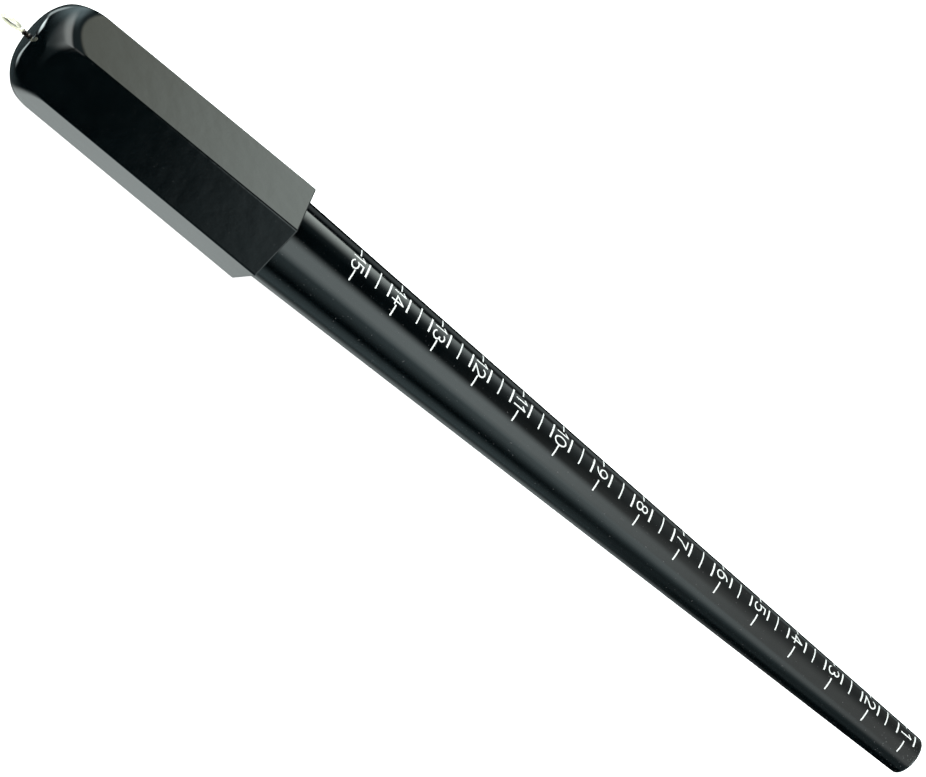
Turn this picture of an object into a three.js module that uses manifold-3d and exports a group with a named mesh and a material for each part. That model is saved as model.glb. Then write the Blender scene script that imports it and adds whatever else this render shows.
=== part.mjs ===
// A ring mandrel: a hexagonal handle with a domed end, a long tapered shaft with a cut scale of
// US ring sizes, and a wire screw eye in the dome.
// Millimetres. The tool's axis runs along +X, from the screw eye to the tip of the shaft, and x = 0
// is the mouth of the handle, where the shaft comes out.
import * as THREE from "three";
import { mergeVertices } from "three/addons/utils/BufferGeometryUtils.js";
import Module from "manifold-3d";

const wasm = await Module();
wasm.setup();

const GAP = 0.3; // clearance between pieces that fit into each other
const CUT_MARGIN = 1; // how far a cutter starts outside the body
const MERGE_DISTANCE = 1e-4; // between vertices that count as one

// Handle
const HANDLE_LENGTH = 83.85;
const MOUTH_INRADIUS = 14.37; // half the width across flats at the mouth
const DRAFT = 0.006; // inradius lost per mm towards the dome
const REST_AT = -36.75; // near the middle of the flat that the tool lies on
const EDGE_SHARE = 0.05; // rounding of the long edges, as a share of the inradius
const EDGE_STEPS = 4;
const FLAT_STEPS = 8;
const MOUTH_CHAMFER = 0.4;
const DOME_LENGTH = 16;
const DOME_END_RADIUS = 4.06;
const DOME_FULL_RADIUS = 17.4; // clear of the long edges, where the dome starts
const DOME_BLEND = 2.5; // softness between the dome and the flats, at the end
const DOME_STEPS = 14;
const CAVITY_RADIUS = 10;
const CAVITY_END = -68;
const CAVITY_CHAMFER = 2;
const BORE_SEGMENTS = 48;

// Shaft
const SPIGOT_RADIUS = 11.2;
const SPIGOT_LENGTH = 32;
const WALL = 2.5;
const TIP_END = 240;
const TIP_ROUNDING = 1;
const TIP_STEPS = 4;
const SPIGOT_CHAMFER = 0.5;
const SHAFT_SEGMENTS = 64;
const CORE_SEGMENTS = 32;

// Scale: the inside diameter of a US ring is 11.6332 mm + 0.8128 mm per size.
const SIZE_ZERO_DIAMETER = 11.6332;
const DIAMETER_PER_SIZE = 0.8128;
const LARGEST_SIZE = 15;
const SMALLEST_SIZE = 1;
const LARGEST_SIZE_AT = 20.3;
const QUARTER_OFFSET = 3.45; // from a full-size line to the quarter line on either side of it
const ENGRAVING_DEPTH = 0.25;
const CUTTER_HEIGHT = 0.5; // how far the engraving cutters stand over the shaft
const LINE_STEP = 0.2; // radians round the shaft

// The scale is cut in two stretches that differ a little. Lengths run round the shaft, from the
// line along the middle of the scale; shift moves a stretch round the shaft.
const LARGE_SIZES = {
  smallest: 6,
  firstStep: 14.93,
  stepGrowth: 0.105,
  halfSizeShare: 0.5,
  shift: 0.2,
  fullLine: { inner: 2.6, outer: 6.15, width: 0.46 },
  halfLine: { reach: 3, width: 0.44 },
  quarterLine: { reach: 2.4, width: 0.6 },
};
const SMALL_SIZES = {
  smallest: SMALLEST_SIZE,
  firstStep: 14.95,
  stepGrowth: 0,
  halfSizeShare: 0.47,
  shift: -0.25,
  fullLine: { inner: 2.4, outer: 6.15, width: 0.46 },
  halfLine: { reach: 2.65, width: 0.44 },
  quarterLine: { reach: 1.95, width: 0.56 },
};

// Digits
const DIGIT_WIDTH = 2.5;
const DIGIT_HEIGHT = 3.75;
const DIGIT_STROKE = 0.45;
const DIGIT_GAP = 1.4;
const ONE_WIDTH = 0.9;
const ARC_STEP = 36; // degrees

// Screw eye
const WIRE_RADIUS = 0.55;
const LOOP_RADIUS = 2.85; // to the middle of the wire
const NECK_LENGTH = 1.9; // from the dome to the bend
const BEND_RADIUS = 1;
const LOOP_END_ANGLE = THREE.MathUtils.degToRad(315);
const EYE_TURN = THREE.MathUtils.degToRad(123); // from +Y towards +Z, where the open side faces
const EYE_OFFSET = new THREE.Vector3(0, -0.65, -0.65); // off the middle of the dome
const BEND_STEPS = 3;
const LOOP_STEPS = 16;
const WIRE_STEPS = 40;
const WIRE_CURVE_STEPS = 6; // for each half of the wire's section
const THREAD_CREST = 0.85;
const THREAD_CORE = 0.52;
const THREAD_PITCH = 0.9;
const THREAD_LENGTH = 11.7;
const THREAD_SIDES = 12;
const ROWS_PER_TURN = 4;
const POINT_LENGTH = 3;
const POINT_SHARE = 0.12; // size left at the point
const PILOT_HOLE_DEPTH = 11;
const DRILL_POINT = 0.7;
const PILOT_SEGMENTS = 24;

const blackPlastic = new THREE.MeshStandardMaterial({ color: 0x0a0c0d, roughness: 0.25 });
const blackGloss = new THREE.MeshStandardMaterial({ color: 0x0b0d0e, roughness: 0.18 });
const brightSteel = new THREE.MeshStandardMaterial({ color: 0xd8d2b8, roughness: 0.2, metalness: 1 });

// Solids

function toSolid(geometry) {
  geometry.deleteAttribute("normal");
  geometry.deleteAttribute("uv");
  const merged = mergeVertices(geometry, MERGE_DISTANCE);
  const mesh = new wasm.Mesh({
    numProp: 3,
    vertProperties: merged.attributes.position.array,
    triVerts: new Uint32Array(merged.index.array),
  });
  return new wasm.Manifold(mesh);
}

function toMesh(solid, name, material) {
  const { vertProperties, triVerts } = solid.getMesh();
  const geometry = new THREE.BufferGeometry();
  geometry.setAttribute("position", new THREE.BufferAttribute(vertProperties, 3));
  geometry.setIndex(new THREE.BufferAttribute(triVerts, 1));
  geometry.computeVertexNormals();
  const mesh = new THREE.Mesh(geometry, material);
  mesh.name = name;
  return mesh;
}

// Rings of points, from the -X end to the +X end and each counterclockwise as seen from +X, joined
// into a closed body with flat ends.
function loftRings(rings) {
  const count = rings[0].length;
  const positions = rings.flat().flatMap((point) => point.toArray());
  const index = [];
  for (let ring = 0; ring + 1 < rings.length; ring++) {
    for (let i = 0; i < count; i++) {
      const a = ring * count + i;
      const b = ring * count + ((i + 1) % count);
      index.push(a, b, a + count, b, b + count, a + count);
    }
  }
  const last = (rings.length - 1) * count;
  for (let i = 1; i + 1 < count; i++) {
    index.push(0, i + 1, i);
    index.push(last, last + i, last + i + 1);
  }
  const geometry = new THREE.BufferGeometry();
  geometry.setAttribute("position", new THREE.Float32BufferAttribute(positions, 3));
  geometry.setIndex(index);
  return toSolid(geometry);
}

// A body turned about the tool's axis. The profile is a list of [x, radius], from the -X end of the
// body to the +X end, and starts and ends on the axis.
function turned(profile, segments) {
  const points = profile.map(([x, radius]) => new THREE.Vector2(radius, x));
  const geometry = new THREE.LatheGeometry(points, segments);
  geometry.rotateZ(-Math.PI / 2);
  return toSolid(geometry);
}

// Handle

function handleInradius(x) {
  return MOUTH_INRADIUS + DRAFT * x;
}

// Half the angle that a rounded corner of the hexagon takes up, seen from the axis.
const EDGE_ANGLE = Math.atan2(
  EDGE_SHARE * Math.sin(Math.PI / 6),
  (1 - EDGE_SHARE) / Math.cos(Math.PI / 6) + EDGE_SHARE * Math.cos(Math.PI / 6),
);

// From the axis to a hexagon with rounded corners, at an angle from the middle of a corner.
function hexagonRadius(x, offCorner) {
  const inradius = handleInradius(x);
  if (offCorner > EDGE_ANGLE) {
    return inradius / Math.cos(Math.PI / 6 - offCorner);
  }
  const rounding = inradius * EDGE_SHARE;
  const reach = (inradius - rounding) / Math.cos(Math.PI / 6);
  const aside = reach * Math.sin(offCorner);
  return reach * Math.cos(offCorner) + Math.sqrt(rounding ** 2 - aside ** 2);
}

// From the axis to the handle's outside: the hexagon, cut by a dome that blends into its flats.
function handleRadius(x, offCorner) {
  const share = Math.max(0, 1 - (x + HANDLE_LENGTH) / DOME_LENGTH);
  const rise = DOME_FULL_RADIUS - DOME_END_RADIUS;
  const dome = DOME_END_RADIUS + rise * Math.sqrt(1 - share ** 2);
  const flat = hexagonRadius(x, offCorner);
  const blend = DOME_BLEND * Math.sqrt(share);
  const overlap = blend - Math.abs(flat - dome);
  return Math.min(flat, dome) - (overlap > 0 ? overlap ** 2 / (4 * blend) : 0);
}

// A section of the handle with flats facing up and down, set in all round by the inset.
function handleRing(x, inset) {
  const flatAngle = Math.PI / 3 - 2 * EDGE_ANGLE;
  const offsets = [];
  for (let step = 0; step < 2 * EDGE_STEPS; step++) {
    offsets.push(EDGE_ANGLE * (step / EDGE_STEPS - 1));
  }
  for (let step = 0; step < FLAT_STEPS; step++) {
    offsets.push(EDGE_ANGLE + (flatAngle * step) / FLAT_STEPS);
  }
  const points = [];
  for (let side = 0; side < 6; side++) {
    for (const offset of offsets) {
      const offCorner = Math.min(Math.abs(offset), Math.PI / 3 - offset);
      const radius = handleRadius(x, offCorner) - inset;
      const angle = (side * Math.PI) / 3 + offset;
      points.push(new THREE.Vector3(x, radius * Math.cos(angle), radius * Math.sin(angle)));
    }
  }
  return points;
}

function handle() {
  const rings = [];
  for (let step = 0; step <= DOME_STEPS; step++) {
    const turn = (step / DOME_STEPS) * (Math.PI / 2);
    rings.push(handleRing(-HANDLE_LENGTH + DOME_LENGTH * (1 - Math.cos(turn)), 0));
  }
  rings.push(handleRing(-MOUTH_CHAMFER, 0), handleRing(0, MOUTH_CHAMFER));
  const boreRadius = SPIGOT_RADIUS + GAP;
  const boreEnd = -SPIGOT_LENGTH - GAP;
  const bore = turned(
    [
      [CAVITY_END, 0],
      [CAVITY_END, CAVITY_RADIUS - CAVITY_CHAMFER],
      [CAVITY_END + CAVITY_CHAMFER, CAVITY_RADIUS],
      [boreEnd, CAVITY_RADIUS],
      [boreEnd, boreRadius],
      [CUT_MARGIN, boreRadius],
      [CUT_MARGIN, 0],
    ],
    BORE_SEGMENTS,
  );
  return toMesh(loftRings(rings).subtract(bore).subtract(pilotHole()), "handle", blackPlastic);
}

function pilotHole() {
  const radius = THREAD_CREST + GAP;
  const bottom = -HANDLE_LENGTH + PILOT_HOLE_DEPTH;
  const hole = turned(
    [
      [-HANDLE_LENGTH - CUT_MARGIN, 0],
      [-HANDLE_LENGTH - CUT_MARGIN, radius],
      [bottom, radius],
      [bottom + DRILL_POINT, 0],
    ],
    PILOT_SEGMENTS,
  );
  return hole.translate(EYE_OFFSET.toArray());
}

// Scale

function ringRadius(size) {
  return (SIZE_ZERO_DIAMETER + DIAMETER_PER_SIZE * size) / 2;
}

// Where each full size sits, with the stretch that its quarter lines belong to.
function fullSizes() {
  const sizes = [];
  let size = LARGEST_SIZE;
  let x = LARGEST_SIZE_AT;
  for (const stretch of [LARGE_SIZES, SMALL_SIZES]) {
    let step = stretch.firstStep;
    for (; size > stretch.smallest; size--) {
      sizes.push({ size, x, step, stretch });
      x += step;
      step += stretch.stepGrowth;
    }
  }
  sizes.push({ size, x, step: SMALL_SIZES.firstStep, stretch: SMALL_SIZES });
  return sizes;
}

const SIZES = fullSizes();
const SCALE_LENGTH = SIZES.at(-1).x - LARGEST_SIZE_AT;
const TAPER = (ringRadius(LARGEST_SIZE) - ringRadius(SMALLEST_SIZE)) / SCALE_LENGTH;

function shaftRadius(x) {
  return ringRadius(LARGEST_SIZE) - TAPER * (x - LARGEST_SIZE_AT);
}

// A point over the shaft: x along it, around = mm round it from the top line, height above it.
function overShaft(x, around, height) {
  const radius = shaftRadius(x);
  const angle = Math.PI / 2 - around / radius;
  const reach = radius + height;
  return new THREE.Vector3(x, -reach * Math.cos(angle), reach * Math.sin(angle));
}

// The cutter of one engraved stroke, a bar of the stroke's width that follows [x, around] points
// over the shaft. Its ends are square and stand out by half the width.
function strokeCutter(path, width) {
  const points = path.map(([x, around]) => new THREE.Vector2(x, around));
  const half = width / 2;
  const first = points[0];
  const last = points.at(-1);
  const startPull = first.clone().sub(points[1]).setLength(half);
  const endPull = last.clone().sub(points.at(-2)).setLength(half);
  first.add(startPull);
  last.add(endPull);
  const positions = [];
  points.forEach((point, i) => {
    const before = i > 0 ? point.clone().sub(points[i - 1]).normalize() : null;
    const after = i + 1 < points.length ? points[i + 1].clone().sub(point).normalize() : null;
    const along = (before ?? after).clone().add(after ?? before).normalize();
    const mitre = half / along.dot(after ?? before);
    const corners = [
      [1, -ENGRAVING_DEPTH],
      [-1, -ENGRAVING_DEPTH],
      [-1, CUTTER_HEIGHT],
      [1, CUTTER_HEIGHT],
    ];
    for (const [side, height] of corners) {
      const x = point.x - along.y * mitre * side;
      const around = point.y + along.x * mitre * side;
      positions.push(...overShaft(x, around, height).toArray());
    }
  });
  const index = [];
  for (let i = 0; i + 1 < points.length; i++) {
    for (let corner = 0; corner < 4; corner++) {
      const a = i * 4 + corner;
      const b = i * 4 + ((corner + 1) % 4);
      index.push(a, b, a + 4, b, b + 4, a + 4);
    }
  }
  const end = (points.length - 1) * 4;
  index.push(0, 2, 1, 0, 3, 2, end, end + 1, end + 2, end, end + 2, end + 3);
  const geometry = new THREE.BufferGeometry();
  geometry.setAttribute("position", new THREE.Float32BufferAttribute(positions, 3));
  geometry.setIndex(index);
  return toSolid(geometry);
}

// A line round the shaft, in steps short enough to follow its curve.
function lineCutter(x, from, to, width) {
  const half = (Math.sign(to - from) * width) / 2;
  const start = from + half;
  const end = to - half;
  const steps = Math.ceil(Math.abs(end - start) / (LINE_STEP * shaftRadius(x)));
  const path = [];
  for (let i = 0; i <= steps; i++) {
    path.push([x, start + ((end - start) * i) / steps]);
  }
  return strokeCutter(path, width);
}

function lineCutters() {
  const cutters = [];
  for (const { size, x, step, stretch } of SIZES) {
    const { shift, fullLine, halfLine, quarterLine, halfSizeShare } = stretch;
    for (const side of [-1, 1]) {
      cutters.push(
        lineCutter(x, shift + side * fullLine.inner, shift + side * fullLine.outer, fullLine.width),
      );
    }
    const between = [[x + QUARTER_OFFSET, quarterLine]];
    if (size > SMALLEST_SIZE) {
      between.push([x + halfSizeShare * step, halfLine], [x + step - QUARTER_OFFSET, quarterLine]);
    }
    for (const [lineX, line] of between) {
      cutters.push(lineCutter(lineX, shift - line.reach, shift + line.reach, line.width));
    }
  }
  return cutters;
}

// Digits are strokes in a box of DIGIT_WIDTH by DIGIT_HEIGHT, given as shares of it.

function arc(centreX, centreY, radiusX, radiusY, fromDegrees, toDegrees) {
  const steps = Math.ceil(Math.abs(toDegrees - fromDegrees) / ARC_STEP);
  const points = [];
  for (let i = 0; i <= steps; i++) {
    const angle = THREE.MathUtils.degToRad(fromDegrees + ((toDegrees - fromDegrees) * i) / steps);
    points.push([centreX + radiusX * Math.cos(angle), centreY + radiusY * Math.sin(angle)]);
  }
  return points;
}

function ellipse(centreX, centreY, radiusX, radiusY) {
  return [
    arc(centreX, centreY, radiusX, radiusY, 90, 270),
    arc(centreX, centreY, radiusX, radiusY, -90, 90),
  ];
}

const SIX = [...ellipse(0.5, 0.32, 0.5, 0.32), arc(0.95, 0.34, 0.95, 0.66, 175, 100)];
const DIGITS = {
  0: ellipse(0.5, 0.5, 0.5, 0.5),
  1: [[[0, 0.75], [0.36, 1]], [[0.36, 0], [0.36, 1]]],
  2: [[...arc(0.5, 0.7, 0.5, 0.3, 165, -30), [0, 0]], [[0, 0], [1, 0]]],
  3: [arc(0.46, 0.77, 0.42, 0.23, 150, -75), arc(0.48, 0.29, 0.52, 0.29, 80, -150)],
  4: [[[0.68, 1], [0, 0.33], [1.05, 0.33]], [[0.68, 0], [0.68, 1]]],
  5: [[[0.9, 1], [0.12, 1], [0.06, 0.54]], arc(0.48, 0.31, 0.52, 0.31, 145, -150)],
  6: SIX,
  7: [[[0, 1], [0.98, 1], [0.5, 0.45], [0.34, 0]]],
  8: [...ellipse(0.5, 0.77, 0.42, 0.23), ...ellipse(0.5, 0.27, 0.5, 0.27)],
  9: SIX.map((stroke) => stroke.map(([x, y]) => [1 - x, 1 - y])),
};

function digitWidth(digit) {
  return digit === "1" ? ONE_WIDTH : DIGIT_WIDTH;
}

// The number of each full size, in the break of its line. It reads round the shaft, with its top
// towards the tip.
function numberCutters() {
  const cutters = [];
  for (const { size, x, stretch } of SIZES) {
    const digits = [...String(size)];
    const widths = digits.map(digitWidth);
    const total = widths.reduce((sum, width) => sum + width, 0) + DIGIT_GAP * (digits.length - 1);
    let left = stretch.shift - total / 2;
    digits.forEach((digit, i) => {
      for (const stroke of DIGITS[digit]) {
        const path = stroke.map(([right, up]) => [
          x + (up - 0.5) * DIGIT_HEIGHT,
          left + right * DIGIT_WIDTH,
        ]);
        cutters.push(strokeCutter(path, DIGIT_STROKE));
      }
      left += widths[i] + DIGIT_GAP;
    });
  }
  return cutters;
}

// Shaft

function shaft() {
  const tipRadius = shaftRadius(TIP_END);
  const tipEdge = [];
  for (let step = 0; step <= TIP_STEPS; step++) {
    const angle = (step / TIP_STEPS) * (Math.PI / 2);
    const x = TIP_END - TIP_ROUNDING * (1 - Math.sin(angle));
    tipEdge.push([x, tipRadius - TIP_ROUNDING * (1 - Math.cos(angle))]);
  }
  const boreRadius = SPIGOT_RADIUS - WALL;
  const boreTip = TIP_END - WALL;
  const body = turned(
    [
      [-SPIGOT_LENGTH, 0],
      [-SPIGOT_LENGTH, SPIGOT_RADIUS - SPIGOT_CHAMFER],
      [-SPIGOT_LENGTH + SPIGOT_CHAMFER, SPIGOT_RADIUS],
      [GAP, SPIGOT_RADIUS],
      [GAP, shaftRadius(GAP)],
      ...tipEdge,
      [TIP_END, 0],
    ],
    SHAFT_SEGMENTS,
  );
  const core = turned(
    [
      [-SPIGOT_LENGTH - CUT_MARGIN, 0],
      [-SPIGOT_LENGTH - CUT_MARGIN, boreRadius],
      [LARGEST_SIZE_AT, boreRadius],
      [boreTip, shaftRadius(boreTip) - WALL],
      [boreTip, 0],
    ],
    CORE_SEGMENTS,
  );
  const engraving = [...lineCutters(), ...numberCutters()].reduce((all, next) => all.add(next));
  return toMesh(body.subtract(core).subtract(engraving), "shaft", blackGloss);
}

// Screw eye, drawn in a plane: x along the tool and reach away from its axis.

function eyePoint(x, reach) {
  return new THREE.Vector3(x, reach * Math.cos(EYE_TURN), reach * Math.sin(EYE_TURN));
}

function eyeWire() {
  const bendStart = -HANDLE_LENGTH - NECK_LENGTH;
  const bendToLoop = Math.sqrt(LOOP_RADIUS ** 2 + 2 * LOOP_RADIUS * BEND_RADIUS);
  const loopX = bendStart - bendToLoop;
  const meetAngle = Math.atan2(BEND_RADIUS, bendToLoop);
  const insideShank = bendStart + WIRE_RADIUS;
  const points = [eyePoint(insideShank, 0), eyePoint(bendStart, 0)];
  for (let step = 1; step <= BEND_STEPS; step++) {
    const angle = (step / BEND_STEPS) * (Math.PI / 2 - meetAngle);
    const x = bendStart - BEND_RADIUS * Math.sin(angle);
    points.push(eyePoint(x, -BEND_RADIUS * (1 - Math.cos(angle))));
  }
  for (let step = 1; step <= LOOP_STEPS; step++) {
    const angle = meetAngle + (step / LOOP_STEPS) * (LOOP_END_ANGLE - meetAngle);
    points.push(eyePoint(loopX + LOOP_RADIUS * Math.cos(angle), -LOOP_RADIUS * Math.sin(angle)));
  }
  const path = new THREE.CatmullRomCurve3(points, false, "centripetal");
  const section = new THREE.Shape().absarc(0, 0, WIRE_RADIUS, 0, 2 * Math.PI);
  const geometry = new THREE.ExtrudeGeometry(section, {
    steps: WIRE_STEPS,
    curveSegments: WIRE_CURVE_STEPS,
    extrudePath: path,
  });
  return toSolid(geometry);
}

// A shank whose radius follows the turn of the thread and ends in a point inside the handle.
function eyeShank() {
  const rows = Math.round((THREAD_LENGTH / THREAD_PITCH) * ROWS_PER_TURN);
  const rings = [];
  for (let row = 0; row <= rows; row++) {
    const distance = (row / rows) * THREAD_LENGTH;
    const left = (THREAD_LENGTH - distance) / POINT_LENGTH;
    const size = Math.min(1, POINT_SHARE + (1 - POINT_SHARE) * left);
    const ring = [];
    for (let i = 0; i < THREAD_SIDES; i++) {
      const turns = distance / THREAD_PITCH + (THREAD_SIDES - i) / THREAD_SIDES;
      const height = Math.abs((turns % 1) - 0.5) * 2;
      const radius = size * (THREAD_CORE + (THREAD_CREST - THREAD_CORE) * height);
      const angle = (i / THREAD_SIDES) * 2 * Math.PI;
      const x = -HANDLE_LENGTH - NECK_LENGTH + distance;
      ring.push(new THREE.Vector3(x, radius * Math.cos(angle), radius * Math.sin(angle)));
    }
    rings.push(ring);
  }
  return loftRings(rings);
}

function screwEye() {
  const solid = eyeWire().add(eyeShank());
  return toMesh(solid.translate(EYE_OFFSET.toArray()), "screw_eye", brightSteel);
}

// The tool lies on the flat under its handle: the draft is taken out by a small turn, and the
// origin is on that flat.
const tool = new THREE.Group();
tool.add(shaft(), handle(), screwEye());
tool.position.set(-REST_AT, 0, handleInradius(REST_AT));

const restingTool = new THREE.Group();
restingTool.add(tool);
restingTool.rotation.y = -Math.atan(DRAFT);

export default restingTool;
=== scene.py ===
import math

import bpy
from mathutils import Matrix, Quaternion, Vector


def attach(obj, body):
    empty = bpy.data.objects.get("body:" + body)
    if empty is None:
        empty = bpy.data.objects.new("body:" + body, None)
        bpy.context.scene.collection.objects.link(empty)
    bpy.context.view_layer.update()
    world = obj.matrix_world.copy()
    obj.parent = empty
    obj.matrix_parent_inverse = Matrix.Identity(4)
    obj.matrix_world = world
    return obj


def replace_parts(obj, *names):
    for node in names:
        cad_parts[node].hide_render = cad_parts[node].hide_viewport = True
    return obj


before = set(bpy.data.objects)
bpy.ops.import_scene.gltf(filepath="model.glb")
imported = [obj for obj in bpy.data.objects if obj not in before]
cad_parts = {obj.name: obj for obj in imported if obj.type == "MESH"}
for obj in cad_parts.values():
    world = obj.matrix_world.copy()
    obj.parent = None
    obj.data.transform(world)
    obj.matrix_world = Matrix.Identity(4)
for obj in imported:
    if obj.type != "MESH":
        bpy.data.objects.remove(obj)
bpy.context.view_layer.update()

# Handle
HANDLE_LENGTH = 0.08385
MOUTH_INRADIUS = 0.01437  # half the width across flats at the mouth
DRAFT = 0.006  # inradius lost per unit of length towards the dome
REST_AT = -0.03675  # near the middle of the flat that the tool lies on
EDGE_SHARE = 0.05  # rounding of the long edges, as a share of the inradius
EDGE_STEPS = 4
FLAT_STEPS = 20
MOUTH_ROUNDING = 0.0004
MOUTH_STEPS = 4
DOME_LENGTH = 0.016
DOME_END_RADIUS = 0.00406
DOME_FULL_RADIUS = 0.0174  # clear of the long edges, which it meets at its full length
DOME_BLEND = 0.0025  # softness between the dome and the flats, at the end
DOME_STEPS = 64
SLOPE_STEP = 0.000001  # along the handle, to measure how its radius changes
SWEEP_STEP = 0.0001  # radians round the handle, for the same

# Shaft
SHAFT_START = -0.002  # inside the handle
TIP_END = 0.24
TIP_ROUNDING = 0.001
TIP_STEPS = 8
SHAFT_SEGMENTS = 256
SURFACE_TOLERANCE = 0.000004  # how near a point of the outside is to the plain cone
END_FACING = 0.999  # least share of a normal along the tool on the flat ends

# Scale: the inside diameter of a US ring is 11.6332 mm + 0.8128 mm per size.
SIZE_ZERO_DIAMETER = 0.0116332
DIAMETER_PER_SIZE = 0.0008128
LARGEST_SIZE = 15
SMALLEST_SIZE = 1
LARGEST_SIZE_AT = 0.0203
QUARTER_OFFSET = 0.00345
ENGRAVING_DEPTH = 0.00025
CUTTER_HEIGHT = 0.0005
PAINT_RECESS = 0.00004
LINE_STEP = 0.05  # radians round the shaft
LARGE_SIZES = {
    "smallest": 6,
    "first_step": 0.01493,
    "step_growth": 0.000105,
    "half_size_share": 0.5,
    "shift": 0.0002,
    "full_line": {"inner": 0.0026, "outer": 0.00615, "width": 0.00046},
    "half_line": {"reach": 0.003, "width": 0.00044},
    "quarter_line": {"reach": 0.0024, "width": 0.0006},
}
SMALL_SIZES = {
    "smallest": SMALLEST_SIZE,
    "first_step": 0.01495,
    "step_growth": 0.0,
    "half_size_share": 0.47,
    "shift": -0.00025,
    "full_line": {"inner": 0.0024, "outer": 0.00615, "width": 0.00046},
    "half_line": {"reach": 0.00265, "width": 0.00044},
    "quarter_line": {"reach": 0.00195, "width": 0.00056},
}
DIGIT_WIDTH = 0.0025
DIGIT_HEIGHT = 0.00375
DIGIT_STROKE = 0.00045
DIGIT_GAP = 0.0014
ONE_WIDTH = 0.0009
ARC_STEP = 12  # degrees

# Screw eye
WIRE_RADIUS = 0.00055
LOOP_RADIUS = 0.00285  # to the middle of the wire
NECK_LENGTH = 0.0019  # from the dome to the bend
BEND_RADIUS = 0.001
LOOP_END_ANGLE = math.radians(315)
EYE_TURN = math.radians(123)
EYE_OFFSET = Vector((0, -0.00065, -0.00065))  # off the middle of the dome
WIRE_SIDES = 24
LOOP_STEPS = 64
BEND_STEPS = 12
WIRE_END_ROUNDING = 0.45  # share of the wire's radius
WIRE_END_STEPS = 6
THREAD_CREST = 0.00085  # outer radius of the thread
THREAD_CORE = 0.00052
THREAD_PITCH = 0.0009
THREAD_SHOWN = 0.0045  # from the bend to a little way inside the dome
THREAD_ROWS = 90
BEND_START = -HANDLE_LENGTH - NECK_LENGTH
BEND_TO_LOOP = math.sqrt(LOOP_RADIUS**2 + 2 * LOOP_RADIUS * BEND_RADIUS)
LOOP_CENTRE_AT = BEND_START - BEND_TO_LOOP

# Materials, with grains per metre
PLASTIC_IOR = 1.5
PLASTIC_BLACKS = ((0.0005, 0.0012, 0.0015), (0.001, 0.002, 0.0024))
HANDLE_FINISH = {"roughness": 0.06, "scuff": 0.01, "waviness": 0.000018}
SHAFT_FINISH = {"roughness": 0.08, "scuff": 0.05, "waviness": 0.000006}
SMUDGE_GRAIN = 120
GLOSS_GRAIN = 260
GLOSS_RANGE = (0.8, 1.3)  # shares of the roughness
WAVE_GRAIN = 220
SCUFF_GRAIN = 1500
SCUFF_LEVELS = (0.69, 0.75)  # of the noise, where a scuff starts and where it is full
SCUFF_ROUGHNESS = 0.2
TIP_WEAR_LENGTH = 0.025
TIP_WEAR = 0.06  # added to the noise at the tip
PAINT_WHITES = ((0.93, 0.93, 0.92), (0.8, 0.81, 0.8))
PAINT_ROUGHNESS = 0.5
PAINT_GRAIN = 5000
PAINT_RELIEF = 0.00002
# Painted light: the wire's pale colour, mostly matt with little metal, stands in for the steel's
# reflection of bright surroundings.
WIRE_PLATING_PAINTED_LIGHT = {"bright": (1.0, 0.98, 0.78), "dark_tone": (0.01, 0.01, 0.003), "metallic": 0.2}
# Painted shade: the thread is the same steel as the wire, given a far darker colour that stands in
# for its dark reflection of the handle's black end.
SHADED_THREAD_PLATING = {"bright": (0.12, 0.1, 0.09), "dark_tone": (0.01, 0.008, 0.007), "metallic": 0.9}
PLATING_ROUGHNESS = 0.12
TARNISH_GRAIN = 800
TARNISH_LEVELS = (0.5, 0.62)
TARNISH_ROUGHNESS = 0.1
FAINT_TARNISH = 0.25
PLATING_GRAIN = 3500
PLATING_RELIEF = 0.000006
SHADE_STRIP_SHARE = 0.75  # how deep the strip of painted shade inside the loop reaches into the wire
FLOOR_GREY = 0.9
FLOOR_GLOW = 0.85

# View
CAMERA_TARGET = Vector((0.10516, 0.00174, 0.01338))
CAMERA_AZIMUTH = math.radians(-25.87)
CAMERA_ELEVATION = math.radians(41.38)
CAMERA_ROLL = math.radians(57.55)
CAMERA_DISTANCE = 1.0762
CAMERA_LENS = 155.5
FLOOR_SIZE = 12.0
PAINT_LIGHT_STRENGTH = 0.9
PAINT_LIGHT_WIDTH = math.radians(40)

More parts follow.
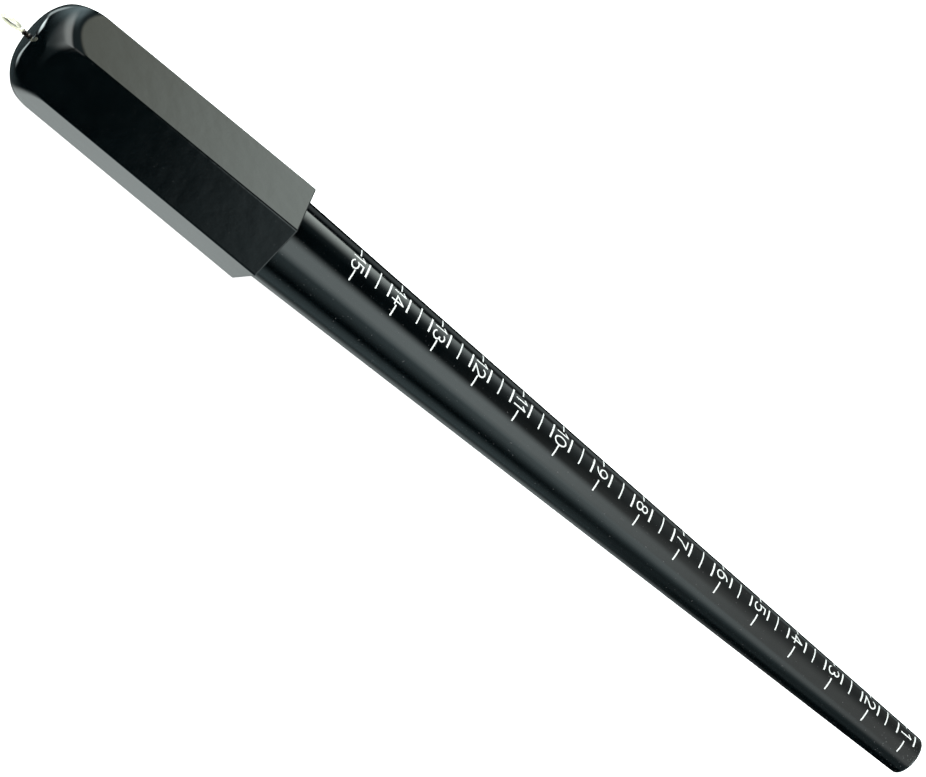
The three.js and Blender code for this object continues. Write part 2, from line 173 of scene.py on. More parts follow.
# Studio lights. "around" is the direction in degrees round the tool's axis, from 0 at +Y over 90
# at the top, and "along" is its cosine with the tool's axis. Each holds where the light starts,
# where it is full, where it fades and where it ends.
AROUND_START = -150
NEUTRAL_WHITE = (0.95, 1.0, 0.97)
COOL_WHITE = (0.87, 1.0, 1.0)
TEAL_WHITE = (0.75, 1.0, 1.05)
WARM_WHITE = (0.95, 1.0, 0.86)
STUDIO_LIGHTS = {
    "overhead": {
        "around": (103, 128, 146, 170),
        "along": (0.21, 0.27, 0.36, 0.47),
        "strength": 2.95,
        "colour": COOL_WHITE,
    },
    "overhead_far": {
        "around": (50, 118, 168, 194),
        "along": (0.35, 0.46, 1.0, 1.1),
        "strength": 1.2,
        "colour": NEUTRAL_WHITE,
    },
    "front_haze": {
        "around": (150, 163, 168, 208),
        "along": (0.19, 0.42, 0.43, 0.52),
        "strength": 0.95,
        "colour": TEAL_WHITE,
    },
    "back": {
        "around": (24.5, 27.5, 31, 64),
        "along": (0.18, 0.27, 0.3, 0.41),
        "strength": 2.8,
        "colour": COOL_WHITE,
    },
    "back_wide": {
        "around": (24.5, 27.5, 31, 64),
        "along": (0.02, 0.17, 0.27, 0.36),
        "strength": 2.5,
        "colour": WARM_WHITE,
    },
    "back_rim": {
        "around": (-17, -4, 6, 18),
        "along": (0.17, 0.4, 1.0, 1.1),
        "strength": 0.45,
        "colour": COOL_WHITE,
    },
    "back_top": {
        "around": (28, 45, 58, 82),
        "along": (0.17, 0.24, 0.36, 0.5),
        "strength": 0.15,
        "colour": TEAL_WHITE,
    },
    "back_haze": {
        "around": (10, 24, 50, 92),
        "along": (0.31, 0.42, 1.0, 1.1),
        "strength": 0.32,
        "colour": NEUTRAL_WHITE,
    },
    "end": {
        "around": (-5, 60, 95, 148),
        "along": (-1.05, -0.62, -0.5, -0.28),
        "strength": 4.6,
        "colour": NEUTRAL_WHITE,
    },
    "end_low": {
        "around": (-35, 10, 30, 55),
        "along": (-0.85, -0.4, -0.25, 0.0),
        "strength": 1.6,
        "colour": TEAL_WHITE,
    },
    "end_haze": {
        "around": (-35, 20, 120, 200),
        "along": (-1.2, -1.0, -0.75, -0.45),
        "strength": 0.3,
        "colour": TEAL_WHITE,
    },
    "front_low": {
        "around": (175, 195, 211, 222),
        "along": (0.36, 0.44, 0.6, 0.8),
        "strength": 0.2,
        "colour": TEAL_WHITE,
    },
    "front_lower": {
        "around": (-170, -155, -142, -122),
        "along": (0.36, 0.44, 0.6, 0.8),
        "strength": 0.2,
        "colour": TEAL_WHITE,
    },
    "table_front": {
        "around": (-150, -126, -116, -92),
        "along": (-0.1, 0.2, 0.36, 0.44),
        "strength": 0.5,
        "colour": TEAL_WHITE,
    },
    "table": {
        "around": (-106, -86, -76, -50),
        "along": (-0.1, 0.15, 0.36, 0.47),
        "strength": 0.52,
        "colour": COOL_WHITE,
    },
    "table_near": {
        "around": (-92, -79, -70, -56),
        "along": (-0.1, 0.1, 0.25, 0.33),
        "strength": 0.5,
        "colour": NEUTRAL_WHITE,
    },
    "table_haze": {
        "around": (-98, -75, -30, -10),
        "along": (-0.5, -0.35, -0.1, 0.05),
        "strength": 0.1,
        "colour": TEAL_WHITE,
    },
    "table_edge": {
        "around": (-40, -35, -26, -14),
        "along": (-0.41, -0.34, -0.26, -0.2),
        "strength": 1.4,
        "colour": COOL_WHITE,
    },
    "table_end": {
        "around": (-43, -40.5, -38.5, -35),
        "along": (-0.66, -0.58, -0.4, -0.34),
        "strength": 5.0,
        "colour": COOL_WHITE,
    },
    "table_corner": {
        "around": (-72, -57, -49, -43),
        "along": (-0.58, -0.53, -0.48, -0.41),
        "strength": 3.0,
        "colour": COOL_WHITE,
    },
    "side_overhead": {
        "around": (75, 95, 120, 150),
        "along": (-0.35, -0.25, -0.02, 0.1),
        "strength": 0.9,
        "colour": NEUTRAL_WHITE,
    },
    "side_haze": {
        "around": (20, 34, 70, 95),
        "along": (-0.4, -0.3, 0.02, 0.15),
        "strength": 0.25,
        "colour": TEAL_WHITE,
    },
    "rear_overhead": {
        "around": (110, 140, 165, 195),
        "along": (0.53, 0.66, 1.0, 1.1),
        "strength": 1.8,
        "colour": COOL_WHITE,
    },
    "rear_back": {
        "around": (20, 34, 60, 85),
        "along": (0.53, 0.66, 1.0, 1.1),
        "strength": 0.6,
        "colour": COOL_WHITE,
    },
    "rear_table": {
        "around": (-148, -110, -60, -25),
        "along": (0.53, 0.66, 1.0, 1.1),
        "strength": 0.7,
        "colour": TEAL_WHITE,
    },
}


# Placing

def handle_inradius(x):
    return MOUTH_INRADIUS + DRAFT * x


TO_FRAME = Matrix.Rotation(-math.atan(DRAFT), 4, "Y") @ Matrix.Translation(
    (-REST_AT, 0, handle_inradius(REST_AT))
)


def set_normals(mesh, normals):
    """One normal for each face corner."""
    mesh.polygons.foreach_set("use_smooth", [True] * len(mesh.polygons))
    mesh.normals_split_custom_set(normals)


def add_piece(name, mesh, material, normals=None):
    """The mesh, made in the tool's frame, becomes a piece of the model."""
    mesh.name = name
    mesh.transform(TO_FRAME)
    turn = TO_FRAME.to_3x3()
    if normals:
        set_normals(mesh, [turn @ normal for normal in normals])
    mesh.materials.clear()
    mesh.materials.append(material)
    piece = bpy.data.objects.new(name, mesh)
    bpy.context.scene.collection.objects.link(piece)
    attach(piece, "root")
    return piece


# Meshes

def ring_faces(ring_count, side_count):
    """Faces over rings that run from the -X end to the +X end, with flat ends."""
    faces = []
    for ring in range(ring_count - 1):
        for side in range(side_count):
            a = ring * side_count + side
            b = ring * side_count + (side + 1) % side_count
            faces.append((a, b, b + side_count, a + side_count))
    last = (ring_count - 1) * side_count
    faces.append(tuple(reversed(range(side_count))))
    faces.append(tuple(range(last, last + side_count)))
    return faces


def mesh_from_rings(rings):
    mesh = bpy.data.meshes.new("rings")
    points = [point for ring in rings for point in ring]
    mesh.from_pydata(points, [], ring_faces(len(rings), len(rings[0])))
    return mesh


def around(x, radius, sides):
    turn = 2 * math.pi / sides
    return [
        Vector((x, radius * math.cos(i * turn), radius * math.sin(i * turn)))
        for i in range(sides)
    ]


def combined(mesh, other, operation):
    """A boolean of two closed meshes, as a new mesh."""
    base = bpy.data.objects.new("base", mesh)
    tool = bpy.data.objects.new("tool", other)
    for helper in (base, tool):
        bpy.context.scene.collection.objects.link(helper)
    modifier = base.modifiers.new("combine", "BOOLEAN")
    modifier.operation = operation
    modifier.solver = "MANIFOLD"
    modifier.object = tool
    graph = bpy.context.evaluated_depsgraph_get()
    result = bpy.data.meshes.new_from_object(base.evaluated_get(graph))
    for helper in (base, tool):
        bpy.data.objects.remove(helper)
    return result


# Handle

def hexagon_radius(x, angle):
    """From the axis to a hexagon with flats facing up and down and rounded corners."""
    inradius = handle_inradius(x)
    rounding = inradius * EDGE_SHARE
    reach = (inradius - rounding) / math.cos(math.pi / 6)
    off_corner = abs((angle + math.pi / 6) % (math.pi / 3) - math.pi / 6)
    if off_corner > EDGE_ANGLE:
        return inradius / math.cos(math.pi / 6 - off_corner)
    aside = reach * math.sin(off_corner)
    return reach * math.cos(off_corner) + math.sqrt(rounding**2 - aside**2)


# Half the angle that a rounded corner of the hexagon takes up, seen from the axis.
EDGE_ANGLE = math.atan2(
    EDGE_SHARE * math.sin(math.pi / 6),
    (1 - EDGE_SHARE) / math.cos(math.pi / 6) + EDGE_SHARE * math.cos(math.pi / 6),
)


def handle_radius(x, angle):
    """The handle's outside: the hexagon, cut by a dome that blends into its flats."""
    share = max(0, 1 - (x + HANDLE_LENGTH) / DOME_LENGTH)
    rise = DOME_FULL_RADIUS - DOME_END_RADIUS
    dome = DOME_END_RADIUS + rise * math.sqrt(max(0, 1 - share**2))
    flat = hexagon_radius(x, angle)
    blend = DOME_BLEND * math.sqrt(share)
    overlap = max(0, blend - abs(flat - dome))
    if overlap == 0:
        return min(flat, dome)
    return min(flat, dome) - overlap**2 / (4 * blend)


def handle_angles():
    """Angles round the handle, close together at the corners."""
    offsets = [EDGE_ANGLE * step / EDGE_STEPS for step in range(-EDGE_STEPS, EDGE_STEPS)]
    flat_angle = math.pi / 3 - 2 * EDGE_ANGLE
    offsets += [EDGE_ANGLE + flat_angle * step / FLAT_STEPS for step in range(FLAT_STEPS)]
    return [side * math.pi / 3 + offset for side in range(6) for offset in offsets]


def handle_stations():
    """Places along the handle, with how far the outside is set in there by the mouth's edge."""
    stations = []
    for step in range(DOME_STEPS + 1):
        turn = step / DOME_STEPS * math.pi / 2
        stations.append((-HANDLE_LENGTH + DOME_LENGTH * (1 - math.cos(turn)), 0))
    for step in range(MOUTH_STEPS + 1):
        turn = step / MOUTH_STEPS * math.pi / 2
        x = -MOUTH_ROUNDING * (1 - math.sin(turn))
        stations.append((x, MOUTH_ROUNDING * (1 - math.cos(turn))))
    return stations


def handle_normal(x, angle, inset):
    """The normal of the outside, from how fast its radius changes along and around."""
    radius = handle_radius(x, angle)
    rise = handle_radius(x + SLOPE_STEP, angle) - handle_radius(x - SLOPE_STEP, angle)
    slope = rise / (2 * SLOPE_STEP)
    swing = handle_radius(x, angle + SWEEP_STEP) - handle_radius(x, angle - SWEEP_STEP)
    sweep = swing / (2 * SWEEP_STEP * radius)
    edge = 1 - inset / MOUTH_ROUNDING
    outward = Vector((0, math.cos(angle), math.sin(angle)))
    across = Vector((0, -math.sin(angle), math.cos(angle)))
    normal = (outward - across * sweep - Vector((slope, 0, 0))).normalized()
    return (normal * edge + Vector((math.sqrt(1 - edge**2), 0, 0))).normalized()


def add_handle(material):
    angles = handle_angles()
    rings = []
    normals = []
    for x, inset in handle_stations():
        ring = []
        for angle in angles:
            radius = handle_radius(x, angle) - inset
            ring.append(Vector((x, radius * math.cos(angle), radius * math.sin(angle))))
            normals.append(handle_normal(x, angle, inset))
        rings.append(ring)
    faces = ring_faces(len(rings), len(angles))
    corners = [normals[i] for face in faces[:-2] for i in face]
    corners += [Vector((-1, 0, 0))] * len(angles)
    corners += [Vector((1, 0, 0))] * len(angles)
    return add_piece("handle_body", mesh_from_rings(rings), material, corners)


# Scale

def ring_radius(size):
    return (SIZE_ZERO_DIAMETER + DIAMETER_PER_SIZE * size) / 2


def full_sizes():
    """Where each full size sits, with the stretch that its quarter lines belong to."""
    sizes = []
    size = LARGEST_SIZE
    x = LARGEST_SIZE_AT
    for stretch in (LARGE_SIZES, SMALL_SIZES):
        step = stretch["first_step"]
        while size > stretch["smallest"]:
            sizes.append((size, x, step, stretch))
            x += step
            step += stretch["step_growth"]
            size -= 1
    sizes.append((size, x, SMALL_SIZES["first_step"], SMALL_SIZES))
    return sizes


SIZES = full_sizes()
SCALE_LENGTH = SIZES[-1][1] - LARGEST_SIZE_AT
TAPER = (ring_radius(LARGEST_SIZE) - ring_radius(SMALLEST_SIZE)) / SCALE_LENGTH


def shaft_radius(x):
    return ring_radius(LARGEST_SIZE) - TAPER * (x - LARGEST_SIZE_AT)


def over_shaft(x, around_shaft, height):
    """A point over the shaft, around_shaft from the top line along the surface."""
    radius = shaft_radius(x)
    angle = math.pi / 2 - around_shaft / radius
    reach = radius + height
    return Vector((x, -reach * math.cos(angle), reach * math.sin(angle)))


def stroke_cutter(path, width):
    """Points and faces of a bar that follows [x, around] points and is mitred at the corners."""
    points = [Vector(point) for point in path]
    half = width / 2
    start_pull = (points[0] - points[1]).normalized() * half
    end_pull = (points[-1] - points[-2]).normalized() * half
    points[0] += start_pull
    points[-1] += end_pull
    vertices = []
    for i, point in enumerate(points):
        before = (point - points[i - 1]).normalized() if i > 0 else None
        after = (points[i + 1] - point).normalized() if i + 1 < len(points) else None
        along = ((before or after) + (after or before)).normalized()
        mitre = half / along.dot(after or before)
        for side, height in (
            (1, -ENGRAVING_DEPTH),
            (-1, -ENGRAVING_DEPTH),
            (-1, CUTTER_HEIGHT),
            (1, CUTTER_HEIGHT),
        ):
            x = point.x - along.y * mitre * side
            vertices.append(over_shaft(x, point.y + along.x * mitre * side, height))
    faces = []
    for i in range(len(points) - 1):
        for corner in range(4):
            a = i * 4 + corner
            b = i * 4 + (corner + 1) % 4
            faces.append((a, b, b + 4, a + 4))
    end = (len(points) - 1) * 4
    faces.append((0, 3, 2, 1))
    faces.append((end, end + 1, end + 2, end + 3))
    return vertices, faces


def line_path(x, start, end, width):
    """A line round the shaft, in steps short enough to follow its curve."""
    half = math.copysign(width / 2, end - start)
    first = start + half
    length = end - half - first
    steps = math.ceil(abs(length) / (LINE_STEP * shaft_radius(x)))
    return [(x, first + length * i / steps) for i in range(steps + 1)]


def line_strokes():
    """The path and width of every line of the scale."""
    strokes = []
    for size, x, step, stretch in SIZES:
        shift = stretch["shift"]
        full = stretch["full_line"]
        for side in (-1, 1):
            start = shift + side * full["inner"]
            end = shift + side * full["outer"]
            strokes.append((line_path(x, start, end, full["width"]), full["width"]))
        between = [(x + QUARTER_OFFSET, stretch["quarter_line"])]
        if size > SMALLEST_SIZE:
            between.append((x + stretch["half_size_share"] * step, stretch["half_line"]))
            between.append((x + step - QUARTER_OFFSET, stretch["quarter_line"]))
        for line_x, line in between:
            reach = line["reach"]
            path = line_path(line_x, shift - reach, shift + reach, line["width"])
            strokes.append((path, line["width"]))
    return strokes


def arc(centre_x, centre_y, radius_x, radius_y, start, end):
    steps = math.ceil(abs(end - start) / ARC_STEP)
    points = []
    for i in range(steps + 1):
        angle = math.radians(start + (end - start) * i / steps)
        points.append((centre_x + radius_x * math.cos(angle), centre_y + radius_y * math.sin(angle)))
    return points


def ellipse(centre_x, centre_y, radius_x, radius_y):
    return [
        arc(centre_x, centre_y, radius_x, radius_y, 90, 270),
        arc(centre_x, centre_y, radius_x, radius_y, -90, 90),
    ]


# The strokes of each digit, as shares of its box.
SIX = [*ellipse(0.5, 0.32, 0.5, 0.32), arc(0.95, 0.34, 0.95, 0.66, 175, 100)]
DIGITS = {
    "0": ellipse(0.5, 0.5, 0.5, 0.5),
    "1": [[(0, 0.75), (0.36, 1)], [(0.36, 0), (0.36, 1)]],
    "2": [[*arc(0.5, 0.7, 0.5, 0.3, 165, -30), (0, 0)], [(0, 0), (1, 0)]],
    "3": [arc(0.46, 0.77, 0.42, 0.23, 150, -75), arc(0.48, 0.29, 0.52, 0.29, 80, -150)],
    "4": [[(0.68, 1), (0, 0.33), (1.05, 0.33)], [(0.68, 0), (0.68, 1)]],
    "5": [[(0.9, 1), (0.12, 1), (0.06, 0.54)], arc(0.48, 0.31, 0.52, 0.31, 145, -150)],
    "6": SIX,
    "7": [[(0, 1), (0.98, 1), (0.5, 0.45), (0.34, 0)]],
    "8": [*ellipse(0.5, 0.77, 0.42, 0.23), *ellipse(0.5, 0.27, 0.5, 0.27)],
    "9": [[(1 - x, 1 - y) for x, y in stroke] for stroke in SIX],
}


def digit_width(digit):
    return ONE_WIDTH if digit == "1" else DIGIT_WIDTH


def digit_strokes():
    """The strokes of the numbers, in layers. Strokes in one layer stay clear of each other."""
    layers = [[] for _ in range(max(len(strokes) for strokes in DIGITS.values()))]
    for size, x, _, stretch in SIZES:
        digits = str(size)
        total = sum(map(digit_width, digits)) + DIGIT_GAP * (len(digits) - 1)
        left = stretch["shift"] - total / 2
        for digit in digits:
            for layer, stroke in zip(layers, DIGITS[digit]):
                path = [
                    (x + (up - 0.5) * DIGIT_HEIGHT, left + right * DIGIT_WIDTH)
                    for right, up in stroke
                ]
                layer.append((path, DIGIT_STROKE))
            left += digit_width(digit) + DIGIT_GAP
    return layers


def cutter_mesh(strokes):
    vertices = []
    faces = []
    for path, width in strokes:
        points, sides = stroke_cutter(path, width)
        first = len(vertices)
        vertices += points
        faces += [tuple(first + i for i in side) for side in sides]
    mesh = bpy.data.meshes.new("cutter")
    mesh.from_pydata(vertices, [], faces)
    return mesh


def engraving():
    cutter = cutter_mesh(line_strokes())
    for layer in digit_strokes():
        cutter = combined(cutter, cutter_mesh(layer), "UNION")
    return cutter


# Shaft

def shaft_mesh(inset):
    """The shaft as a plain turned body, a little slimmer by the inset."""
    rings = [around(SHAFT_START, shaft_radius(SHAFT_START) - inset, SHAFT_SEGMENTS)]
    edge = shaft_radius(TIP_END) - inset - TIP_ROUNDING
    for step in range(TIP_STEPS + 1):
        turn = step / TIP_STEPS * math.pi / 2
        x = TIP_END - TIP_ROUNDING * (1 - math.sin(turn))
        rings.append(around(x, edge + TIP_ROUNDING * math.cos(turn), SHAFT_SEGMENTS))
    return mesh_from_rings(rings)


def shaft_normal(point):
    """The normal of the shaft's outside next to a point."""
    outward = Vector((0, point.y, point.z)).normalized()
    past_edge = point.x - (TIP_END - TIP_ROUNDING)
    if past_edge < 0:
        return (outward + Vector((TAPER, 0, 0))).normalized()
    turn = math.asin(min(past_edge / TIP_ROUNDING, 1))
    return outward * math.cos(turn) + Vector((math.sin(turn), 0, 0))


def shaft_normals(mesh, inset):
    """Round normals on the outside of the shaft, and flat ones in the engraving and at the ends."""
    corners = []
    for face in mesh.polygons:
        points = [mesh.vertices[i].co for i in face.vertices]
        outside = all(
            abs(point.yz.length - shaft_radius(point.x) + inset) < SURFACE_TOLERANCE
            or point.x > TIP_END - TIP_ROUNDING - SURFACE_TOLERANCE
            for point in points
        )
        if outside and abs(face.normal.x) < END_FACING:
            corners += [shaft_normal(point) for point in points]
        else:
            corners += [face.normal.copy()] * len(points)
    return corners


def add_shaft(plastic_material, paint):
    cutter = engraving()
    body = combined(shaft_mesh(0), cutter, "DIFFERENCE")
    fill = combined(shaft_mesh(PAINT_RECESS), cutter, "INTERSECT")
    add_piece("scale_paint", fill, paint, shaft_normals(fill, PAINT_RECESS))
    return add_piece("shaft_body", body, plastic_material, shaft_normals(body, 0))


# Screw eye

def eye_point(x, reach):
    return Vector((x, reach * math.cos(EYE_TURN), reach * math.sin(EYE_TURN)))


def eye_line():
    """The middle of the wire, from its free end round the loop and into the screw."""
    meet_angle = math.atan2(BEND_RADIUS, BEND_TO_LOOP)
    points = []
    for step in range(LOOP_STEPS + 1):
        angle = LOOP_END_ANGLE - step / LOOP_STEPS * (LOOP_END_ANGLE - meet_angle)
        x = LOOP_CENTRE_AT + LOOP_RADIUS * math.cos(angle)
        points.append(eye_point(x, -LOOP_RADIUS * math.sin(angle)))
    for step in range(1, BEND_STEPS + 1):
        angle = (1 - step / BEND_STEPS) * (math.pi / 2 - meet_angle)
        x = BEND_START - BEND_RADIUS * math.sin(angle)
        points.append(eye_point(x, -BEND_RADIUS * (1 - math.cos(angle))))
    points.append(eye_point(BEND_START + WIRE_RADIUS, 0))
    return points


def loop_axis():
    """The direction square to the plane of the loop."""
    return Vector((0, -math.sin(EYE_TURN), math.cos(EYE_TURN)))


def wire_ring(centre, along, radius):
    """A ring of the wire, square to the direction that the wire runs in."""
    across = loop_axis()
    out = along.cross(across)
    ring = []
    for i in range(WIRE_SIDES):
        angle = i / WIRE_SIDES * 2 * math.pi
        ring.append(centre + radius * (math.cos(angle) * out + math.sin(angle) * across))
    return ring


def eye_rings():
    """Rings of the wire, from its rounded free end to where it runs into the screw."""
    line = eye_line()
    rings = []
    start = (line[1] - line[0]).normalized()
    rounding = WIRE_END_ROUNDING * WIRE_RADIUS
    for step in range(WIRE_END_STEPS + 1):
        turn = step / WIRE_END_STEPS * math.pi / 2
        radius = WIRE_RADIUS - rounding * (1 - math.sin(turn))
        rings.append(wire_ring(line[0] - start * rounding * math.cos(turn), start, radius))
    for before, point, after in zip(line, line[1:], [*line[2:], line[-1]]):
        rings.append(wire_ring(point, (after - before).normalized(), WIRE_RADIUS))
    return rings


def thread_rings():
    """Rings of the screw, whose radius follows the turn of the thread."""
    rings = []
    for row in range(THREAD_ROWS + 1):
        distance = row / THREAD_ROWS * THREAD_SHOWN
        x = BEND_START + distance
        ring = []
        for i in range(WIRE_SIDES):
            turns = distance / THREAD_PITCH - i / WIRE_SIDES
            height = abs(turns % 1 - 0.5) * 2
            radius = THREAD_CORE + (THREAD_CREST - THREAD_CORE) * height
            angle = i / WIRE_SIDES * 2 * math.pi
            ring.append(Vector((x, radius * math.cos(angle), radius * math.sin(angle))))
        rings.append(ring)
    return rings


def add_eye_piece(name, rings, material):
    mesh = mesh_from_rings(rings)
    mesh.transform(Matrix.Translation(EYE_OFFSET))
    mesh.polygons.foreach_set("use_smooth", [len(face.vertices) == 4 for face in mesh.polygons])
    return add_piece(name, mesh, material)


# Materials

def new_material(name):
    material = bpy.data.materials.new(name)
    material.use_nodes = True
    nodes = material.node_tree.nodes
    return material, nodes, material.node_tree.links, nodes["Principled BSDF"]


def node_math(nodes, links, operation, *values):
    node = nodes.new("ShaderNodeMath")
    node.operation = operation
    for socket, value in zip(node.inputs, values):
        if isinstance(value, bpy.types.NodeSocket):
            links.new(value, socket)
        else:
            socket.default_value = value
    return node.outputs["Value"]


def noise(nodes, links, scale, detail):
    """Noise in the frame's coordinates, with scale in grains per metre."""
    place = nodes.new("ShaderNodeTexCoord")
    texture = nodes.new("ShaderNodeTexNoise")
    texture.inputs["Scale"].default_value = scale
    texture.inputs["Detail"].default_value = detail
    links.new(place.outputs["Object"], texture.inputs["Vector"])
    return texture.outputs["Fac"]


def mapped(nodes, links, value, low, high, start=0.3, end=0.7):
    """The value turned from the range start to end into low to high, and held there."""
    remap = nodes.new("ShaderNodeMapRange")
    remap.inputs["From Min"].default_value = start
    remap.inputs["From Max"].default_value = end
    remap.inputs["To Min"].default_value = low
    remap.inputs["To Max"].default_value = high
    links.new(value, remap.inputs["Value"])
    return remap.outputs["Result"]


def blended(nodes, links, value, first, second):
    """The first colour where the value is 0 and the second where it is 1."""
    mix = nodes.new("ShaderNodeMix")
    mix.data_type = "RGBA"
    colour_sockets = [socket for socket in mix.inputs if socket.type == "RGBA"]
    for socket, colour in zip(colour_sockets, (first, second)):
        if isinstance(colour, bpy.types.NodeSocket):
            links.new(colour, socket)
        else:
            socket.default_value = (*colour, 1)
    links.new(value, mix.inputs["Factor"])
    return next(socket for socket in mix.outputs if socket.type == "RGBA")


def bumped(nodes, links, shader, value, distance):
    bump = nodes.new("ShaderNodeBump")
    bump.inputs["Distance"].default_value = distance
    links.new(value, bump.inputs["Height"])
    links.new(bump.outputs["Normal"], shader.inputs["Normal"])


def tip_wear(nodes, links):
    """How much likelier a scuff is: more and more over the last stretch before the tip."""
    place = nodes.new("ShaderNodeTexCoord")
    split = nodes.new("ShaderNodeSeparateXYZ")
    links.new(place.outputs["Object"], split.inputs["Vector"])
    tip = TIP_END - REST_AT
    start = tip - TIP_WEAR_LENGTH
    return mapped(nodes, links, split.outputs["X"], 0, TIP_WEAR, start=start, end=tip)


def plastic(name, roughness, scuff, waviness):
    """Black moulded plastic with a slightly uneven skin and gloss, and small scuffs."""
    material, nodes, links, shader = new_material(name)
    shader.inputs["IOR"].default_value = PLASTIC_IOR
    smudges = mapped(nodes, links, noise(nodes, links, SMUDGE_GRAIN, detail=4), 0, 1)
    black = blended(nodes, links, smudges, *PLASTIC_BLACKS)
    speckle = noise(nodes, links, SCUFF_GRAIN, detail=3)
    worn = node_math(nodes, links, "ADD", speckle, tip_wear(nodes, links))
    scuffs = mapped(nodes, links, worn, 0, 1, *SCUFF_LEVELS)
    scuffed = blended(nodes, links, scuffs, black, (scuff, scuff, scuff))
    links.new(scuffed, shader.inputs["Base Color"])
    low, high = (share * roughness for share in GLOSS_RANGE)
    gloss = mapped(nodes, links, noise(nodes, links, GLOSS_GRAIN, detail=3), low, high)
    rough = node_math(nodes, links, "MULTIPLY_ADD", scuffs, SCUFF_ROUGHNESS, gloss)
    links.new(rough, shader.inputs["Roughness"])
    bumped(nodes, links, shader, noise(nodes, links, WAVE_GRAIN, detail=3), waviness)
    return material


def white_paint():
    """Matt white with a fine grain."""
    material, nodes, links, shader = new_material("scale_white")
    grain = noise(nodes, links, PAINT_GRAIN, detail=3)
    white = blended(nodes, links, mapped(nodes, links, grain, 0, 1), *PAINT_WHITES)
    links.new(white, shader.inputs["Base Color"])
    shader.inputs["Roughness"].default_value = PAINT_ROUGHNESS
    bumped(nodes, links, shader, grain, PAINT_RELIEF)
    return material


def distance_from(nodes, links, point):
    """How far the surface is from a point that is given in the tool's frame."""
    place = nodes.new("ShaderNodeTexCoord")
    measure = nodes.new("ShaderNodeVectorMath")
    measure.operation = "DISTANCE"
    links.new(place.outputs["Object"], measure.inputs[0])
    measure.inputs[1].default_value = TO_FRAME @ point
    return measure.outputs["Value"]


def loop_dullness(nodes, links):
    """Painted shade: 1 on the neck and on a strip inside the wire's loop, on its left, and 0
    elsewhere. On the neck it stands in for the neck's dark reflection of the handle's black end, and
    on the strip for the shade along the inside of the loop.
    """
    centre = eye_point(LOOP_CENTRE_AT, 0) + EYE_OFFSET
    outer_edge = LOOP_RADIUS + WIRE_RADIUS
    off_centre = distance_from(nodes, links, centre)
    neck = mapped(nodes, links, off_centre, 0, 1, start=outer_edge, end=outer_edge + WIRE_RADIUS)
    aside = centre - loop_axis() * LOOP_RADIUS
    start = math.hypot(LOOP_RADIUS, LOOP_RADIUS) - WIRE_RADIUS
    end = start + SHADE_STRIP_SHARE * WIRE_RADIUS
    strip = mapped(nodes, links, distance_from(nodes, links, aside), 1, 0, start=start, end=end)
    return node_math(nodes, links, "MAXIMUM", neck, strip)


def plated_steel(name, bright, dark_tone, metallic, painted_shade_places=None):
    """Plating with spots of tarnish, which are faint if painted_shade_places is given; the dark tone
    is then also painted as shade wherever painted_shade_places says.
    """
    material, nodes, links, shader = new_material(name)
    shader.inputs["Metallic"].default_value = metallic
    spots = noise(nodes, links, TARNISH_GRAIN, detail=3)
    tarnish_and_shade = mapped(nodes, links, spots, 0, 1, *TARNISH_LEVELS)
    if painted_shade_places:
        faint = node_math(nodes, links, "MULTIPLY", tarnish_and_shade, FAINT_TARNISH)
        # painted shade from painted_shade_places, in the same dark tone as the tarnish
        tarnish_and_shade = node_math(nodes, links, "MAXIMUM", faint, painted_shade_places(nodes, links))
    links.new(blended(nodes, links, tarnish_and_shade, bright, dark_tone), shader.inputs["Base Color"])
    rough = node_math(
        nodes, links, "MULTIPLY_ADD", tarnish_and_shade, TARNISH_ROUGHNESS, PLATING_ROUGHNESS
    )
    links.new(rough, shader.inputs["Roughness"])
    bumped(nodes, links, shader, noise(nodes, links, PLATING_GRAIN, detail=2), PLATING_RELIEF)
    return material


# Studio

def add_floor():
    """A pale floor, evened out by a glow of its own, that no reflection shows."""
    mesh = bpy.data.meshes.new("floor")
    half = FLOOR_SIZE / 2
    mesh.from_pydata(
        [(-half, -half, 0), (half, -half, 0), (half, half, 0), (-half, half, 0)],
        [],
        [(0, 1, 2, 3)],
    )
    floor = bpy.data.objects.new("floor", mesh)
    bpy.context.scene.collection.objects.link(floor)
    material, nodes, links, shader = new_material("floor_pale")
    shader.inputs["Base Color"].default_value = (FLOOR_GREY, FLOOR_GREY, FLOOR_GREY, 1)
    shader.inputs["Roughness"].default_value = 1
    shader.inputs["Emission Color"].default_value = (1, 1, 1, 1)
    shader.inputs["Emission Strength"].default_value = FLOOR_GLOW
    mesh.materials.append(material)
    floor.visible_glossy = False


def add_paint_light():
    """A soft light from behind the camera that leaves no reflection in the gloss."""
    light = bpy.data.lights.new("paint_light", "SUN")
    light.energy = PAINT_LIGHT_STRENGTH
    light.angle = PAINT_LIGHT_WIDTH
    sun = bpy.data.objects.new("paint_light", light)
    sun.rotation_mode = "QUATERNION"
    sun.rotation_quaternion = bpy.context.scene.camera.rotation_quaternion
    sun.visible_glossy = False
    bpy.context.scene.collection.objects.link(sun)


def add_camera():
    """The camera looks at the middle of the tool and is rolled, so that the tip points down right."""
    back = Vector(
        (
            math.sin(CAMERA_AZIMUTH) * math.cos(CAMERA_ELEVATION),
            -math.cos(CAMERA_AZIMUTH) * math.cos(CAMERA_ELEVATION),
            math.sin(CAMERA_ELEVATION),
        )
    )
    camera = bpy.data.objects.new("camera", bpy.data.cameras.new("camera"))
    camera.data.lens = CAMERA_LENS
    camera.location = CAMERA_TARGET + back * CAMERA_DISTANCE
    camera.rotation_mode = "QUATERNION"
    level = (-back).to_track_quat("-Z", "Y")
    camera.rotation_quaternion = level @ Quaternion((0, 0, 1), CAMERA_ROLL)
    bpy.context.scene.collection.objects.link(camera)
    bpy.context.scene.camera = camera


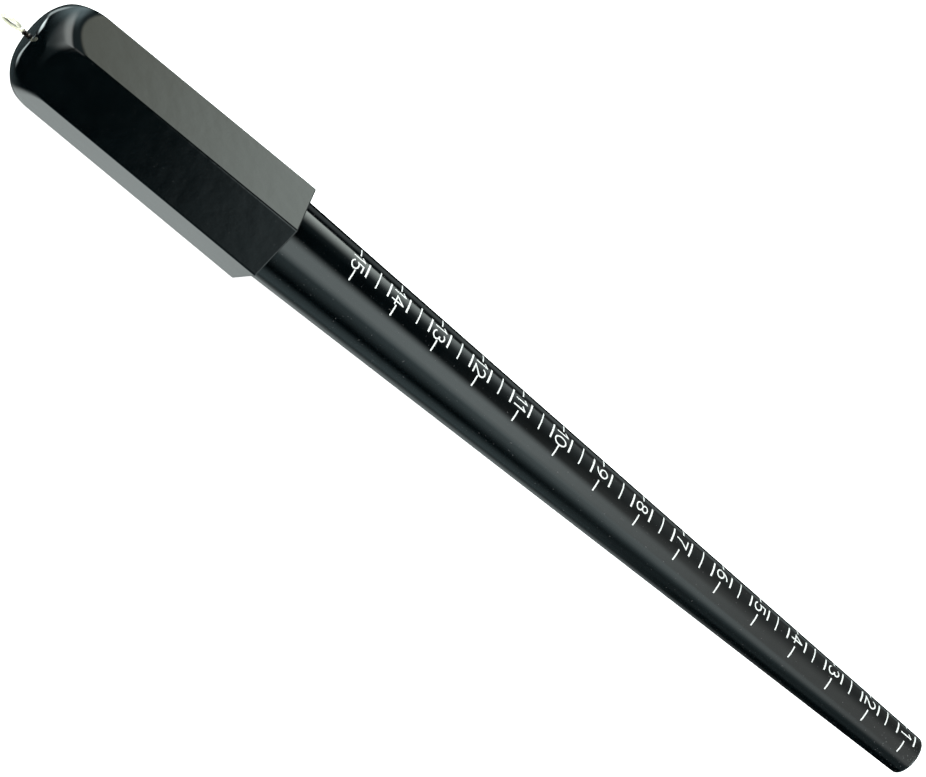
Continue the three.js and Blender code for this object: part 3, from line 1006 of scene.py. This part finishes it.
def soft_step(nodes, links, value, start, end):
    """0 before start and 1 after end, or the other way round if end is the lower."""
    step = nodes.new("ShaderNodeMapRange")
    step.interpolation_type = "SMOOTHSTEP"
    step.inputs["From Min"].default_value = min(start, end)
    step.inputs["From Max"].default_value = max(start, end)
    step.inputs["To Min"].default_value = 0 if start < end else 1
    step.inputs["To Max"].default_value = 1 if start < end else 0
    links.new(value, step.inputs["Value"])
    return step.outputs["Result"]


def add_world():
    """A dark studio with soft lights, each a band of directions around and along the tool."""
    world = bpy.data.worlds.new("studio")
    world.use_nodes = True
    nodes = world.node_tree.nodes
    links = world.node_tree.links
    place = nodes.new("ShaderNodeTexCoord")
    split = nodes.new("ShaderNodeSeparateXYZ")
    links.new(place.outputs["Generated"], split.inputs["Vector"])
    turn = node_math(nodes, links, "ARCTAN2", split.outputs["Z"], split.outputs["Y"])
    degrees = node_math(nodes, links, "MULTIPLY", turn, 180 / math.pi)
    shifted = node_math(nodes, links, "ADD", degrees, 360 - AROUND_START)
    wrapped = node_math(nodes, links, "MODULO", shifted, 360)
    around_tool = node_math(nodes, links, "ADD", wrapped, AROUND_START)
    along_tool = split.outputs["X"]
    total = None
    for light in STUDIO_LIGHTS.values():
        strength = light["strength"]
        for value, (start, full, fading, end) in (
            (around_tool, light["around"]),
            (along_tool, light["along"]),
        ):
            rise = soft_step(nodes, links, value, start, full)
            fall = soft_step(nodes, links, value, end, fading)
            strength = node_math(nodes, links, "MULTIPLY", rise, strength)
            strength = node_math(nodes, links, "MULTIPLY", fall, strength)
        colour = nodes.new("ShaderNodeVectorMath")
        colour.operation = "SCALE"
        colour.inputs[0].default_value = light["colour"]
        links.new(strength, colour.inputs["Scale"])
        if total is None:
            total = colour.outputs["Vector"]
            continue
        joined = nodes.new("ShaderNodeVectorMath")
        links.new(total, joined.inputs[0])
        links.new(colour.outputs["Vector"], joined.inputs[1])
        total = joined.outputs["Vector"]
    links.new(total, nodes["Background"].inputs["Color"])
    bpy.context.scene.world = world


handle_black = plastic("handle_black", **HANDLE_FINISH)
shaft_black = plastic("shaft_black", **SHAFT_FINISH)
scale_white = white_paint()
wire_steel_painted_light_and_shade = plated_steel("wire_plating_painted_light_and_shade", **WIRE_PLATING_PAINTED_LIGHT, painted_shade_places=loop_dullness)
shaded_thread_steel = plated_steel("thread_plating_painted_shade", **SHADED_THREAD_PLATING)
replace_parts(add_handle(handle_black), "handle")
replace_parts(add_shaft(shaft_black, scale_white), "shaft")
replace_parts(add_eye_piece("screw_eye_wire", eye_rings(), wire_steel_painted_light_and_shade), "screw_eye")
add_eye_piece("screw_eye_thread", thread_rings(), shaded_thread_steel)
add_floor()
add_world()
add_camera()
add_paint_light()
bpy.context.scene.view_settings.view_transform = "Standard"
